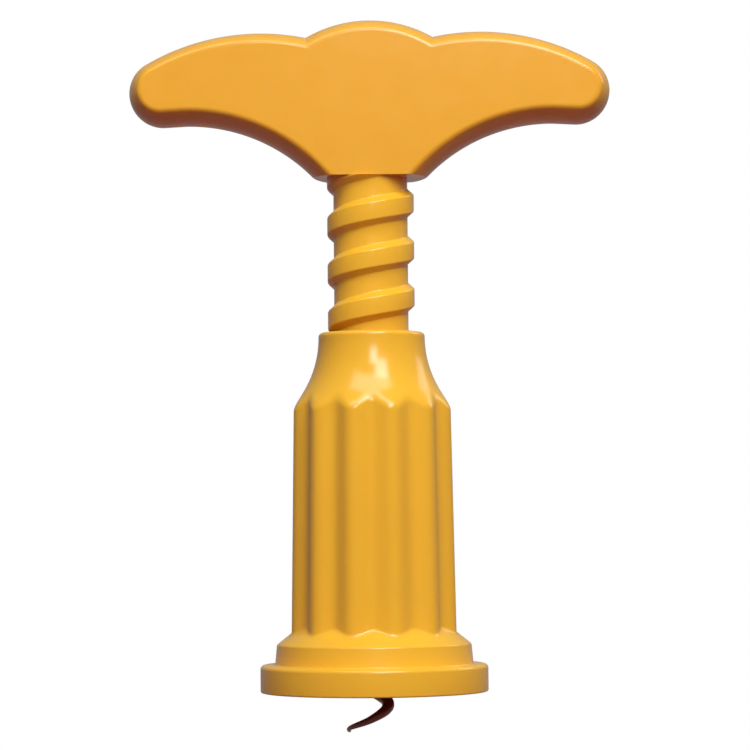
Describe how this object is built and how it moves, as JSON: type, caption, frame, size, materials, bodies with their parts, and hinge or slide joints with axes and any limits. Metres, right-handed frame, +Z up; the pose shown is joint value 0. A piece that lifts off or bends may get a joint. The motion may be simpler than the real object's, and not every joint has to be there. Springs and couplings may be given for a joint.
{
  "type": "corkscrew",
  "caption": "T-handle corkscrew: a fluted barrel that stands on the bottle, a coarse-threaded spindle that screws down through it, a wire worm and a cross handle with a raised crown.",
  "frame": {"origin": "on the screw's axis, in the plane of the base's underside, where the tool stands on the bottle", "axes": "+Z up along the axis of the spindle and the worm, towards the handle; the handle's length runs along X, and -Y is the side that the picture shows"},
  "size_m": [0.102, 0.048, 0.1507],
  "materials": {
    "amber_plastic": "moulded amber-yellow plastic, smooth and glossy",
    "ivory_plastic": "unpainted bearing plastic, low sheen",
    "seat_rubber": "soft, matt",
    "worm_steel": "hardened spring wire with a dark red-brown slippery coating, glossy",
    "plain_steel": "zinc-plated steel, satin"
  },
  "bodies": {
    "barrel": {"barrel": "amber_plastic", "thread_nut": "ivory_plastic", "bottle_seat_ring": "seat_rubber"},
    "guide": {"guide_bush": "ivory_plastic"},
    "handle": {"spindle": "amber_plastic", "worm": "worm_steel", "worm_pin": "plain_steel", "retaining_ring": "plain_steel", "handle_front_shell": "amber_plastic", "handle_back_shell": "amber_plastic", "handle_screws": "plain_steel"}
  },
  "joints": [
    {"name": "spindle_feed", "type": "slide", "parent": "barrel", "child": "guide", "axis": [0, 0, 1], "range_m": [-0.03255, 0]},
    {"name": "handle_turn", "type": "hinge", "parent": "guide", "child": "handle", "pos_m": [0, 0, 0.052], "axis": [0, 0, 1], "range_deg": [-1168.2, 0]}
  ],
  "couplings": [
    {"joint": "spindle_feed", "follows": "handle_turn", "m_per_rad": 0.0015915}
  ]
}
